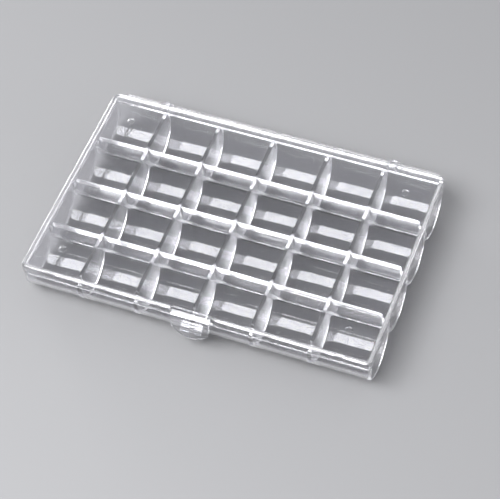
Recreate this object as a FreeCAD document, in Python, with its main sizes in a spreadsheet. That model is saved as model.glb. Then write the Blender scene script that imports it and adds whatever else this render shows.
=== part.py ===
import FreeCAD, Part
import os
import Sketcher

# Bobbin box in clear polystyrene: a tray of U-shaped troughs crossed by dividers, and a hinged lid with a
# latch tab. Frame: +Z up, standing on z = 0, X along the box, -Y the latch side, +Y the hinge side, origin
# under the middle of the whole box, latch tab and hinge ledge included. The sketches are drawn about the
# middle of the tray.

# Driving sizes, in millimetres: name, value and meaning
SIZES = [
    ("column_count", 6, "cells along the box"),
    ("row_count", 4, "troughs across the box"),
    ("cell_length", 28.1, "inside of a cell along the box"),
    ("cell_width", 27.7, "inside of a trough across the box, twice its inner radius"),
    ("divider_thickness", 1.8, "row and column dividers"),
    ("wall_thickness", 1.4, "outer walls and trough shells"),
    ("standing_flat", 0.25, "depth of the flat that each trough stands on"),
    ("wall_rise", 3.5, "straight outer wall above the trough axis"),
    ("divider_setback", 1.95, "raised divider ends to the inner wall face"),
    ("divider_end_radius", 1.5, "rounded top corner of a raised divider end"),
    ("divider_headroom", 0.25, "divider tops to the underside of the lid"),
    ("seat_gap", 0.1, "tray wall to the lid skirt that rests on it"),
    ("skirt_height", 5.4, "lid edge, from its top to the bottom of its skirt"),
    ("skirt_thickness", 1.9, "wall of the lid skirt"),
    ("lid_plate", 1.3, "flat top of the lid"),
    ("lid_overhang", 0.4, "lid edge beyond the tray wall, all round"),
    ("lid_corner_radius", 3.0, "upright corners of the lid"),
    ("lid_edge_radius", 1.0, "rounded top edge of the lid"),
    ("hinge_spread", 125.0, "distance between the two hinge loops"),
    ("hinge_offset", 4.35, "hinge axis behind the lid edge"),
    ("bar_radius", 0.9, "round bar of a hinge loop"),
    ("arm_width", 1.2, "each arm of a hinge loop, along the box"),
    ("arm_clearance", 0.3, "arms above the ledge under them"),
    ("hook_width", 2.6, "hinge hook, along the box"),
    ("hook_side_gap", 0.3, "hook to the arms beside it"),
    ("hook_clearance", 0.08, "radial play of the bar in its hook"),
    ("hook_web", 1.1, "hook material in front of the bar"),
    ("hook_roof", 0.8, "hook material above the bar"),
    ("hook_wrap", 0.3, "hook lips past the centre of the bar"),
    ("ledge_thickness", 1.4, "ledge along the back of the tray"),
    ("ledge_margin", 0.1, "ledge beyond the hinge bars"),
    ("ledge_setback", 4.0, "ledge ends to the ends of the tray"),
    ("tab_width", 20.4, "latch tab, also the diameter of its round end"),
    ("tab_thickness", 1.4, "latch tab"),
    ("tab_reach", 3.3, "outer face of the tab in front of the lid edge"),
    ("tab_drop", 6.1, "lid top to the centre of the round end"),
    ("tab_slit", 1.0, "slit between the tab and the skirt beside it"),
    ("catch_width", 11.0, "catch lip and catch rib, along the box"),
    ("catch_drop", 9.2, "lid top to the top of the catch lip"),
    ("catch_height", 1.6, "root of the catch lip and of the rib"),
    ("catch_lip", 1.25, "catch lip out of the tray wall"),
    ("catch_gap", 0.2, "catch rib to the lip that it passes"),
    ("gate_diameter", 3.4, "round gate dimple in the lid"),
    ("gate_depth", 0.6, "depth of a gate dimple"),
    ("gate_inset", 15.9, "gate dimples to the edges of the lid"),
    ("margin", 1.0, "how far a cutting profile runs past what it cuts"),
]

document = FreeCAD.newDocument("bobbin_box")
sheet = document.addObject("Spreadsheet::Sheet", "size")
for row, (alias, number, meaning) in enumerate(SIZES, start=1):
    sheet.set(f"A{row}", meaning)
    sheet.set(f"B{row}", str(number))
    sheet.setAlias(f"B{row}", alias)
document.recompute()

# Places worked out from the driving sizes, as expressions
pitch_x = "(size.cell_length + size.divider_thickness)"
pitch_y = "(size.cell_width + size.divider_thickness)"
first_divider_x = f"(-(size.column_count - 2) * {pitch_x} / 2)"
first_trough_y = f"(-(size.row_count - 1) * {pitch_y} / 2)"
inner_length = f"(size.column_count * {pitch_x} - size.divider_thickness)"
inner_width = f"(size.row_count * {pitch_y} - size.divider_thickness)"
tray_length = f"({inner_length} + 2 * size.wall_thickness)"
tray_width = f"({inner_width} + 2 * size.wall_thickness)"
tray_corner_radius = "(size.lid_corner_radius - size.lid_overhang)"
trough_radius = "(size.cell_width / 2)"
shell_radius = "(size.cell_width / 2 + size.wall_thickness)"
trough_axis_z = f"({shell_radius} - size.standing_flat)"
wall_top = f"({trough_axis_z} + size.wall_rise)"

skirt_bottom = f"({wall_top} + size.seat_gap)"
lid_top = f"({skirt_bottom} + size.skirt_height)"
lid_underside = f"({lid_top} - size.lid_plate)"
divider_top = f"({lid_underside} - size.divider_headroom)"
lid_length = f"({tray_length} + 2 * size.lid_overhang)"
lid_width = f"({tray_width} + 2 * size.lid_overhang)"
skirt_inner_length = f"({lid_length} - 2 * size.skirt_thickness)"
skirt_inner_width = f"({lid_width} - 2 * size.skirt_thickness)"
skirt_inner_radius = "(size.lid_corner_radius - size.skirt_thickness)"

hinge_y = f"({lid_width} / 2 + size.hinge_offset)"
hinge_z = f"({wall_top} + size.arm_clearance + size.bar_radius)"
socket_radius = "(size.bar_radius + size.hook_clearance)"
loop_gap = "(size.hook_width + 2 * size.hook_side_gap)"
loop_width = f"({loop_gap} + 2 * size.arm_width)"

tab_face_y = f"(-{lid_width} / 2 - size.tab_reach)"
tab_bend_radius = "(size.tab_reach + size.skirt_thickness)"
tab_bend_y = f"({tab_face_y} + {tab_bend_radius})"
tab_bend_z = f"({lid_top} - {tab_bend_radius})"
tab_inner_radius = f"({tab_bend_radius} - size.tab_thickness)"
tab_centre_z = f"({lid_top} - size.tab_drop)"
tab_tip_z = f"({tab_centre_z} - size.tab_width / 2)"
notch_width = "(size.tab_width + 2 * size.tab_slit)"
catch_top_z = f"({lid_top} - size.catch_drop)"
catch_under_z = f"({catch_top_z} - size.catch_height)"
catch_lip_y = f"(-{tray_width} / 2 - size.catch_lip)"
catch_rib_y = f"({catch_lip_y} - size.catch_gap)"
catch_rib_top_z = f"({catch_under_z} - size.catch_gap)"

ledge_back_y = f"({hinge_y} + size.bar_radius + size.ledge_margin)"
to_middle_y = f"(-({tab_face_y} + {ledge_back_y}) / 2)"

# How constraints number a sketch's own origin and upright axis, and the points of a line or an arc
ORIGIN, Y_AXIS = range(-1, -3, -1)
START, END, CENTRE = range(1, 4)


def value(expression):
    """The number that an expression of the driving sizes gives now."""
    return float(sheet.evalExpression(str(expression)))


def new_body(label):
    body = document.addObject("PartDesign::Body", label)
    body.Label = label
    return body


def origin_feature(body, role):
    return next(feature for feature in body.Origin.OriginFeatures if feature.Role == role)


def new_sketch(body, name, plane, offset=None):
    """An empty sketch on one of the body's own planes, moved along that plane's normal by an expression."""
    sketch = body.newObject("Sketcher::SketchObject", name)
    sketch.AttachmentSupport = [(origin_feature(body, plane), "")]
    sketch.MapMode = "FlatFace"
    if offset is not None:
        sketch.setExpression("AttachmentOffset.Base.z", offset)
    document.recompute()
    return sketch


def dimension(sketch, kind, reference, expression):
    """A dimension of a sketch that follows an expression of the driving sizes."""
    index = sketch.addConstraint(Sketcher.Constraint(kind, *reference, value(expression)))
    sketch.setExpression(f"Constraints[{index}]", expression)


def place(sketch, geometry, point, across=None, up=None):
    """Places one point of a sketch by its distances from the sketch's origin."""
    if across is not None:
        dimension(sketch, "DistanceX", (ORIGIN, START, geometry, point), across)
    if up is not None:
        dimension(sketch, "DistanceY", (ORIGIN, START, geometry, point), up)


def add_line(sketch, start, end):
    return sketch.addGeometry(Part.LineSegment(FreeCAD.Vector(*start, 0), FreeCAD.Vector(*end, 0)))


def add_arc(sketch, start, middle, end):
    points = [FreeCAD.Vector(*point, 0) for point in (start, middle, end)]
    return sketch.addGeometry(Part.Arc(*points))


def constrain(sketch, *reference):
    sketch.addConstraint(Sketcher.Constraint(*reference))


def polygon(sketch, corners):
    """Lines joined end to end through the corners, given as pairs of expressions. Returns the lines."""
    points = [(value(across), value(up)) for across, up in corners]
    lines = [add_line(sketch, points[i], points[(i + 1) % len(points)]) for i in range(len(points))]
    for i, line in enumerate(lines):
        constrain(sketch, "Coincident", line, END, lines[(i + 1) % len(lines)], START)
    return lines


def rectangle(sketch, left, right, bottom, top):
    lines = polygon(sketch, [(left, bottom), (right, bottom), (right, top), (left, top)])
    for line, direction in zip(lines, ("Horizontal", "Vertical", "Horizontal", "Vertical")):
        constrain(sketch, direction, line)
    place(sketch, lines[0], START, left, bottom)
    place(sketch, lines[2], START, right, top)


def rounded_rectangle(sketch, length, width, radius):
    """A rectangle about the sketch's origin with tangent arcs in its corners."""
    half_x = value(length) / 2
    half_y = value(width) / 2
    round_size = value(radius)
    flat_x = half_x - round_size
    flat_y = half_y - round_size
    bulge = round_size * 0.5 ** 0.5
    sides = [
        add_line(sketch, (-flat_x, -half_y), (flat_x, -half_y)),
        add_line(sketch, (half_x, -flat_y), (half_x, flat_y)),
        add_line(sketch, (flat_x, half_y), (-flat_x, half_y)),
        add_line(sketch, (-half_x, flat_y), (-half_x, -flat_y)),
    ]
    corners = [
        add_arc(sketch, (flat_x, -half_y), (flat_x + bulge, -flat_y - bulge), (half_x, -flat_y)),
        add_arc(sketch, (half_x, flat_y), (flat_x + bulge, flat_y + bulge), (flat_x, half_y)),
        add_arc(sketch, (-flat_x, half_y), (-flat_x - bulge, flat_y + bulge), (-half_x, flat_y)),
        add_arc(sketch, (-half_x, -flat_y), (-flat_x - bulge, -flat_y - bulge), (-flat_x, -half_y)),
    ]
    for i, corner in enumerate(corners):
        constrain(sketch, "Tangent", sides[i], END, corner, START)
        constrain(sketch, "Tangent", corner, END, sides[(i + 1) % 4], START)
        if i > 0:
            constrain(sketch, "Equal", corners[0], corner)
    for side, direction in zip(sides, ("Horizontal", "Vertical", "Horizontal", "Vertical")):
        constrain(sketch, direction, side)
    dimension(sketch, "Radius", (corners[0],), radius)
    place(sketch, sides[0], START, up=f"-{width} / 2")
    place(sketch, sides[1], START, across=f"{length} / 2")
    place(sketch, sides[2], START, up=f"{width} / 2")
    place(sketch, sides[3], START, across=f"-{length} / 2")


def trough_profile(sketch, centre_y, radius, top):
    """A U: two upright sides tangent to a half circle about the trough axis, closed by a level top."""
    middle = value(centre_y)
    axis = value(trough_axis_z)
    reach = value(radius)
    height = value(top)
    left = add_line(sketch, (middle - reach, height), (middle - reach, axis))
    round_bottom = add_arc(sketch, (middle - reach, axis), (middle, axis - reach), (middle + reach, axis))
    right = add_line(sketch, (middle + reach, axis), (middle + reach, height))
    lid_side = add_line(sketch, (middle + reach, height), (middle - reach, height))
    constrain(sketch, "Tangent", left, END, round_bottom, START)
    constrain(sketch, "Tangent", round_bottom, END, right, START)
    constrain(sketch, "Coincident", right, END, lid_side, START)
    constrain(sketch, "Coincident", lid_side, END, left, START)
    constrain(sketch, "Vertical", left)
    constrain(sketch, "Vertical", right)
    constrain(sketch, "Horizontal", lid_side)
    place(sketch, round_bottom, CENTRE, centre_y, trough_axis_z)
    dimension(sketch, "Radius", (round_bottom,), radius)
    place(sketch, left, START, up=top)


def disc(sketch, across, up, radius):
    centre = FreeCAD.Vector(value(across), value(up), 0)
    circle = sketch.addGeometry(Part.Circle(centre, FreeCAD.Vector(0, 0, 1), value(radius)))
    place(sketch, circle, CENTRE, across, up)
    dimension(sketch, "Radius", (circle,), radius)


def wedge(sketch, root_y, tip_y, square_z, tip_z, slope_z):
    """A catch seen from its end: square on one side, sloped from its tip back to its root on the other."""
    corners = [(root_y, square_z), (tip_y, square_z), (tip_y, tip_z), (root_y, slope_z)]
    lines = polygon(sketch, corners)
    constrain(sketch, "Horizontal", lines[0])
    constrain(sketch, "Vertical", lines[1])
    constrain(sketch, "Vertical", lines[3])
    place(sketch, lines[0], START, root_y, square_z)
    place(sketch, lines[1], END, tip_y, tip_z)
    place(sketch, lines[3], START, up=slope_z)


def extrude(body, kind, sketch, name, length=None, symmetric=False, reverse=False):
    """Pads or pockets a sketch by an expression's length, or cuts right through where no length is given."""
    feature = body.newObject(f"PartDesign::{kind}", name)
    feature.Profile = sketch
    feature.SideType = "Symmetric" if symmetric else "One side"
    feature.Reversed = reverse
    if length is None:
        feature.Type = "ThroughAll"
    else:
        feature.setExpression("Length", length)
    body.Tip = feature
    document.recompute()
    before = feature.BaseFeature.Shape.Volume if feature.BaseFeature else 0.0
    change = feature.Shape.Volume - before
    assert change * (1 if kind == "Pad" else -1) > 0, f"{name} changed the volume by {change}"
    return feature


def repeat(body, feature, name, steps):
    """Repeats a feature along one or two axes, each given as a plane-line role, a pitch and a count."""
    pattern = body.newObject("PartDesign::LinearPattern", name)
    pattern.Originals = [feature]
    for suffix, (role, pitch, count) in zip(("", "2"), steps):
        setattr(pattern, f"Direction{suffix}", (origin_feature(body, role), [""]))
        setattr(pattern, f"Mode{suffix}", "Spacing")
        setattr(pattern, f"Spacings{suffix}", [-1.0])  # each step takes the pitch
        pattern.setExpression(f"Offset{suffix}", pitch)
        pattern.setExpression(f"Occurrences{suffix}", count)
    body.Tip = pattern
    document.recompute()
    return pattern


def mirror(body, features, name):
    """Repeats features on the other half of the box."""
    mirrored = body.newObject("PartDesign::Mirrored", name)
    mirrored.Originals = features
    mirrored.MirrorPlane = (origin_feature(body, "YZ_Plane"), [""])
    body.Tip = mirrored
    document.recompute()
    return mirrored


def round_level_edges(body, feature, name, height, radius, side=None):
    """Rounds the level edges of a feature at a height, all of them or those at a distance to either side."""
    level = value(height)
    names = []
    for index, edge in enumerate(feature.Shape.Edges, start=1):
        at_level = all(abs(vertex.Z - level) < 1e-6 for vertex in edge.Vertexes)
        at_side = side is None or all(abs(abs(vertex.Y) - side) < 1e-6 for vertex in edge.Vertexes)
        if at_level and at_side:
            names.append(f"Edge{index}")
    fillet = body.newObject("PartDesign::Fillet", name)
    fillet.Base = (feature, names)
    fillet.setExpression("Radius", radius)
    body.Tip = fillet
    document.recompute()
    return fillet


# Tray: trough shells side by side, then the block that the raised dividers are left from
tray = new_body("tray")
shell_sketch = new_sketch(tray, "shell_section", "YZ_Plane")
trough_profile(shell_sketch, first_trough_y, shell_radius, wall_top)
shell = extrude(tray, "Pad", shell_sketch, "trough_shell", tray_length, symmetric=True)
repeat(tray, shell, "trough_shells", [("Y_Axis", pitch_y, "size.row_count")])

flat_sketch = new_sketch(tray, "standing_plane", "XY_Plane")
rectangle(flat_sketch, f"-{tray_length}", tray_length, f"-{tray_width}", tray_width)
extrude(tray, "Pocket", flat_sketch, "standing_flats")

trim_sketch = new_sketch(tray, "corner_outline", "XY_Plane")
rounded_rectangle(trim_sketch, tray_length, tray_width, tray_corner_radius)
rectangle(trim_sketch, f"-{tray_length}", tray_length, f"-{tray_width}", tray_width)
extrude(tray, "Pocket", trim_sketch, "rounded_corners", reverse=True)

raised_sketch = new_sketch(tray, "raised_outline", "XY_Plane", wall_top)
raised_half_x = f"({inner_length} / 2 - size.divider_setback)"
raised_half_y = f"({inner_width} / 2 - size.divider_setback)"
rectangle(raised_sketch, f"-{raised_half_x}", raised_half_x, f"-{raised_half_y}", raised_half_y)
raised = extrude(tray, "Pad", raised_sketch, "raised_block", f"({divider_top} - {wall_top})")
round_level_edges(tray, raised, "divider_ends", divider_top, "size.divider_end_radius")

trough_sketch = new_sketch(tray, "trough_section", "YZ_Plane")
trough_profile(trough_sketch, first_trough_y, trough_radius, f"({divider_top} + size.margin)")
trough = extrude(tray, "Pocket", trough_sketch, "trough", inner_length, symmetric=True)
repeat(tray, trough, "troughs", [("Y_Axis", pitch_y, "size.row_count")])

# Tray: the ledge along the back and the two hooks that hold the hinge bars
ledge_sketch = new_sketch(tray, "ledge_outline", "XY_Plane", wall_top)
ledge_half_x = f"({tray_length} / 2 - size.ledge_setback)"
ledge_root_y = f"({tray_width} / 2 - size.wall_thickness / 2)"
rectangle(ledge_sketch, f"-{ledge_half_x}", ledge_half_x, ledge_root_y, ledge_back_y)
extrude(tray, "Pad", ledge_sketch, "ledge", "size.ledge_thickness", reverse=True)

hook_sketch = new_sketch(tray, "hook_side", "YZ_Plane", "size.hinge_spread / 2")
hook_front_y = f"({hinge_y} - {socket_radius} - size.hook_web)"
hook_back_y = f"({hinge_y} + size.hook_wrap)"
hook_root_z = f"({wall_top} - size.ledge_thickness / 2)"
hook_top_z = f"({hinge_z} + {socket_radius} + size.hook_roof)"
rectangle(hook_sketch, hook_front_y, hook_back_y, hook_root_z, hook_top_z)
hook = extrude(tray, "Pad", hook_sketch, "hinge_hook", "size.hook_width", symmetric=True)
socket_sketch = new_sketch(tray, "socket_side", "YZ_Plane", "size.hinge_spread / 2")
disc(socket_sketch, hinge_y, hinge_z, socket_radius)
socket_width = "(size.hook_width + size.margin)"
socket = extrude(tray, "Pocket", socket_sketch, "hinge_socket", socket_width, symmetric=True)
mirror(tray, [hook, socket], "hinge_hooks")

# Tray: the lip on the front wall that the latch snaps under
lip_sketch = new_sketch(tray, "lip_section", "YZ_Plane")
lip_root_y = f"(-{tray_width} / 2 + size.wall_thickness / 2)"
catch_tip_z = f"({catch_top_z} - size.catch_lip / 2)"
wedge(lip_sketch, lip_root_y, catch_lip_y, catch_under_z, catch_tip_z, catch_top_z)
extrude(tray, "Pad", lip_sketch, "catch_lip", "size.catch_width", symmetric=True)

# Column dividers: U-shaped webs of the same moulding, one across each trough at every column line. They are
# kept as a body of their own, because the tray is then a plain row of troughs, and every web is a flat plate.
webs = new_body("column_dividers")
webs.AllowCompound = True
web_sketch = new_sketch(webs, "web_section", "YZ_Plane", first_divider_x)
trough_profile(web_sketch, first_trough_y, trough_radius, divider_top)
web = extrude(webs, "Pad", web_sketch, "web", "size.divider_thickness", symmetric=True)
repeat(
    webs,
    web,
    "web_grid",
    [("X_Axis", pitch_x, "size.column_count - 1"), ("Y_Axis", pitch_y, "size.row_count")],
)
setback_sketch = new_sketch(webs, "setback_outline", "XY_Plane", wall_top)
rectangle(setback_sketch, f"-{raised_half_x}", raised_half_x, f"-{raised_half_y}", raised_half_y)
rectangle(setback_sketch, f"-{tray_length}", tray_length, f"-{tray_width}", tray_width)
setback = extrude(webs, "Pocket", setback_sketch, "web_setback", reverse=True)
end_line = value(raised_half_y)
round_level_edges(webs, setback, "web_ends", divider_top, "size.divider_end_radius", end_line)

# Lid: a plate with a skirt
lid = new_body("lid")
lid_sketch = new_sketch(lid, "lid_outline", "XY_Plane", skirt_bottom)
rounded_rectangle(lid_sketch, lid_length, lid_width, "size.lid_corner_radius")
plate = extrude(lid, "Pad", lid_sketch, "lid_block", "size.skirt_height")
round_level_edges(lid, plate, "lid_top_edge", lid_top, "size.lid_edge_radius")
hollow_sketch = new_sketch(lid, "skirt_inside", "XY_Plane", skirt_bottom)
rounded_rectangle(hollow_sketch, skirt_inner_length, skirt_inner_width, skirt_inner_radius)
extrude(lid, "Pocket", hollow_sketch, "skirt_hollow", f"({lid_underside} - {skirt_bottom})", reverse=True)

# Lid: the latch tab bends down through a notch in the skirt and ends in a half round
notch_sketch = new_sketch(lid, "tab_notch_outline", "XY_Plane", skirt_bottom)
notch_front_y = f"(-{lid_width} / 2 - size.margin)"
rectangle(notch_sketch, f"-{notch_width} / 2", f"{notch_width} / 2", notch_front_y, tab_bend_y)
extrude(lid, "Pocket", notch_sketch, "tab_notch", reverse=True)

tab_sketch = new_sketch(lid, "tab_section", "YZ_Plane")
bend = value(tab_bend_radius)
inner_bend = value(tab_inner_radius)
bend_y = value(tab_bend_y)
bend_z = value(tab_bend_z)
tip = value(tab_tip_z)
slant = 0.5 ** 0.5
outer_arc = add_arc(
    tab_sketch,
    (bend_y, bend_z + bend),
    (bend_y - bend * slant, bend_z + bend * slant),
    (bend_y - bend, bend_z),
)
outer_face = add_line(tab_sketch, (bend_y - bend, bend_z), (bend_y - bend, tip))
tip_edge = add_line(tab_sketch, (bend_y - bend, tip), (bend_y - inner_bend, tip))
inner_face = add_line(tab_sketch, (bend_y - inner_bend, tip), (bend_y - inner_bend, bend_z))
inner_arc = add_arc(
    tab_sketch,
    (bend_y - inner_bend, bend_z),
    (bend_y - inner_bend * slant, bend_z + inner_bend * slant),
    (bend_y, bend_z + inner_bend),
)
root_edge = add_line(tab_sketch, (bend_y, bend_z + inner_bend), (bend_y, bend_z + bend))
# Part.Arc runs anticlockwise in the sketch, so the outer arc starts at the root and the inner arc ends at the
# tab face.
constrain(tab_sketch, "Tangent", outer_arc, END, outer_face, START)
constrain(tab_sketch, "Coincident", outer_face, END, tip_edge, START)
constrain(tab_sketch, "Coincident", tip_edge, END, inner_face, START)
constrain(tab_sketch, "Tangent", inner_face, END, inner_arc, END)
constrain(tab_sketch, "Coincident", inner_arc, START, root_edge, START)
constrain(tab_sketch, "Coincident", root_edge, END, outer_arc, START)
constrain(tab_sketch, "Coincident", outer_arc, CENTRE, inner_arc, CENTRE)
constrain(tab_sketch, "Vertical", outer_face)
constrain(tab_sketch, "Vertical", inner_face)
constrain(tab_sketch, "Vertical", root_edge)
constrain(tab_sketch, "Horizontal", tip_edge)
constrain(tab_sketch, "Vertical", outer_arc, CENTRE, outer_arc, START)
place(tab_sketch, outer_arc, CENTRE, tab_bend_y, tab_bend_z)
dimension(tab_sketch, "Radius", (outer_arc,), tab_bend_radius)
dimension(tab_sketch, "Radius", (inner_arc,), tab_inner_radius)
place(tab_sketch, tip_edge, START, up=tab_tip_z)
extrude(lid, "Pad", tab_sketch, "latch_tab", "size.tab_width", symmetric=True)

round_sketch = new_sketch(lid, "tab_end_outline", "XZ_Plane")
end_radius = value("size.tab_width / 2")
end_z = value(tab_centre_z)
outside_x = value("size.tab_width / 2 + size.margin")
below_z = value(f"({tab_tip_z} - size.margin)")
round_end = add_arc(round_sketch, (-end_radius, end_z), (0, end_z - end_radius), (end_radius, end_z))
outline = [
    add_line(round_sketch, (end_radius, end_z), (outside_x, end_z)),
    add_line(round_sketch, (outside_x, end_z), (outside_x, below_z)),
    add_line(round_sketch, (outside_x, below_z), (-outside_x, below_z)),
    add_line(round_sketch, (-outside_x, below_z), (-outside_x, end_z)),
    add_line(round_sketch, (-outside_x, end_z), (-end_radius, end_z)),
]
path = [round_end] + outline
for i, edge in enumerate(path):
    constrain(round_sketch, "Coincident", edge, END, path[(i + 1) % len(path)], START)
for edge, direction in zip(outline, ("Horizontal", "Vertical", "Horizontal", "Vertical", "Horizontal")):
    constrain(round_sketch, direction, edge)
constrain(round_sketch, "PointOnObject", round_end, CENTRE, Y_AXIS)
constrain(round_sketch, "Horizontal", round_end, CENTRE, round_end, START)
constrain(round_sketch, "Horizontal", round_end, CENTRE, round_end, END)
dimension(round_sketch, "Radius", (round_end,), "size.tab_width / 2")
place(round_sketch, round_end, CENTRE, up=tab_centre_z)
place(round_sketch, outline[1], END, "(size.tab_width / 2 + size.margin)", f"({tab_tip_z} - size.margin)")
place(round_sketch, outline[3], START, "-(size.tab_width / 2 + size.margin)")
extrude(lid, "Pocket", round_sketch, "tab_round_end", reverse=True)

rib_sketch = new_sketch(lid, "rib_section", "YZ_Plane")
rib_root_y = f"({tab_face_y} + size.tab_thickness / 2)"
rib_tip_z = f"({catch_rib_top_z} - size.catch_height / 2)"
rib_slope_z = f"({catch_rib_top_z} - size.catch_height)"
wedge(rib_sketch, rib_root_y, catch_rib_y, catch_rib_top_z, rib_tip_z, rib_slope_z)
extrude(lid, "Pad", rib_sketch, "catch_rib", "size.catch_width", symmetric=True)

# Lid: the hinge loops, two arms and a round bar each
arm_sketch = new_sketch(lid, "arm_side", "YZ_Plane", "size.hinge_spread / 2")
arm_root_y = f"({lid_width} / 2 - size.skirt_thickness / 2)"
arm_bottom_z = f"({hinge_z} - size.bar_radius)"
arm_top_z = f"({hinge_z} + size.bar_radius)"
rectangle(arm_sketch, arm_root_y, hinge_y, arm_bottom_z, arm_top_z)
arms = extrude(lid, "Pad", arm_sketch, "hinge_arms", loop_width, symmetric=True)
gap_sketch = new_sketch(lid, "loop_inside", "YZ_Plane", "size.hinge_spread / 2")
gap_bottom_z = f"({arm_bottom_z} - size.margin)"
gap_top_z = f"({arm_top_z} + size.margin)"
rectangle(gap_sketch, f"{lid_width} / 2", f"({hinge_y} + size.margin)", gap_bottom_z, gap_top_z)
gap = extrude(lid, "Pocket", gap_sketch, "hinge_gap", loop_gap, symmetric=True)
bar_sketch = new_sketch(lid, "bar_section", "YZ_Plane", "size.hinge_spread / 2")
disc(bar_sketch, hinge_y, hinge_z, "size.bar_radius")
bar = extrude(lid, "Pad", bar_sketch, "hinge_bar", loop_width, symmetric=True)
mirror(lid, [arms, gap, bar], "hinge_loops")

# Lid: four shallow dimples where the plastic was let into the mould
gate_sketch = new_sketch(lid, "gate_places", "XY_Plane", lid_top)
gate_x = f"({lid_length} / 2 - size.gate_inset)"
gate_y = f"({lid_width} / 2 - size.gate_inset)"
for side_x in ("-", ""):
    for side_y in ("-", ""):
        disc(gate_sketch, f"{side_x}{gate_x}", f"{side_y}{gate_y}", "size.gate_diameter / 2")
extrude(lid, "Pocket", gate_sketch, "gate_dimples", "size.gate_depth")

bodies = (tray, webs, lid)
for body in bodies:
    body.setExpression("Placement.Base.y", to_middle_y)
document.recompute()
for item in document.Objects:
    assert "Invalid" not in item.State and "Error" not in item.State, f"{item.Name} is {item.State}"
os.makedirs("parts", exist_ok=True)
for body in bodies:
    shape = body.Shape
    assert not shape.isNull() and shape.isValid(), f"{body.Label} has no valid shape"
    assert body is webs or len(shape.Solids) == 1, f"{body.Label} has {len(shape.Solids)} solids"
    volume = shape.Volume / 1000
    print(f"{body.Label}: {volume:.2f} cm3, {len(shape.Faces)} faces, {len(shape.Solids)} solids")
for body in bodies:
    body.Shape.exportStep(f"parts/{body.Label}.step")
print(f"hinge axis at y {value(hinge_y) + value(to_middle_y):.3f}, z {value(hinge_z):.3f}")
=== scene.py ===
# %% [markdown]
# # A clear bobbin box
#
# The real box is two mouldings of clear polystyrene: a tray of round-bottomed troughs crossed by thin
# dividers, and a flat lid that swings on two snap hinges and shuts with a bent-down tab. The CAD model
# gives the sizes and the motion. This script makes the same two mouldings again as smooth surfaces, with
# the rounded edges, the slight lean of moulded faces and the finish that decide how clear plastic catches
# the light. Then it adds a floor, lights and a camera.

# %% Load the CAD frame
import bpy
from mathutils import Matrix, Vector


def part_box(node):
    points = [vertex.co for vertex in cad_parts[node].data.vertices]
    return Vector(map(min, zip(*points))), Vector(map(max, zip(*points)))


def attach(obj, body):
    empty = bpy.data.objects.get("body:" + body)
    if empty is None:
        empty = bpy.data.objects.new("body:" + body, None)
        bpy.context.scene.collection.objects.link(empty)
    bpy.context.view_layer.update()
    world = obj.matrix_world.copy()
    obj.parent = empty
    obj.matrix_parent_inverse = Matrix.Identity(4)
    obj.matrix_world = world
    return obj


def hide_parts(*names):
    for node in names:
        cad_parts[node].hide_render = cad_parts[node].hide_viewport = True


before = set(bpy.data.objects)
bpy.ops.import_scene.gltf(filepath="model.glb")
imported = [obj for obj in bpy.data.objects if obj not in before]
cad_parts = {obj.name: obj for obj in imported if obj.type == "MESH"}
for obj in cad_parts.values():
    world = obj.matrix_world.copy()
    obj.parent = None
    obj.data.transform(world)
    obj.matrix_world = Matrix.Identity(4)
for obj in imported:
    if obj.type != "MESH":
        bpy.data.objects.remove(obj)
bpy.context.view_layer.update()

import math

import bmesh
import bpy
import numpy as np
from mathutils import Matrix, Vector

# %% [markdown]
# ## Camera
#
# A product photograph is usually taken from far off with a long lens, so that edges stay nearly parallel.
# The place and the lens were worked out from the corners of the lid and the crossings of the dividers.
# Blender's camera looks along its own -Z, so a track quaternion turns it to the aim point, and a last small
# turn about its own axis is the tilt of the picture.

# %% Camera
CAMERA_PLACE = Vector((0.22828, -0.50450, 0.73257))
CAMERA_AIM = Vector((0.01308, -0.01481, 0.02300))
CAMERA_TILT = math.radians(-3.973)
FOCAL_LENGTH_IN_PIXELS = 1806.35
IMAGE_WIDTH_IN_PIXELS = 500
SENSOR_WIDTH = 36.0

camera_data = bpy.data.cameras.new("camera")
camera_data.sensor_fit = "HORIZONTAL"
camera_data.sensor_width = SENSOR_WIDTH
camera_data.lens = FOCAL_LENGTH_IN_PIXELS * SENSOR_WIDTH / IMAGE_WIDTH_IN_PIXELS
camera = bpy.data.objects.new("camera", camera_data)
bpy.context.scene.collection.objects.link(camera)
turn = (CAMERA_AIM - CAMERA_PLACE).to_track_quat("-Z", "Y").to_matrix().to_4x4()
camera.matrix_world = Matrix.Translation(CAMERA_PLACE) @ turn @ Matrix.Rotation(CAMERA_TILT, 4, "Z")
bpy.context.scene.camera = camera
print("lens", round(camera_data.lens, 2), "mm")

# %% [markdown]
# ## Sizes
#
# The box's sizes are in millimetres, as on a drawing of it, and the main ones are the same as in the CAD
# model. A last step moves each piece into the CAD frame, which is in metres and has its origin under the
# middle of the whole box.

# %% Sizes of the tray
COLUMNS = 6
ROWS = 4
CELL_LENGTH = 28.1
CELL_WIDTH = 27.7
DIVIDER = 1.8
WALL = 1.4
STANDING_FLAT = 0.25
WALL_RISE = 3.5
DIVIDER_SETBACK = 1.95
DIVIDER_END_RADIUS = 1.5
DIVIDER_HEADROOM = 0.25

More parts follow.
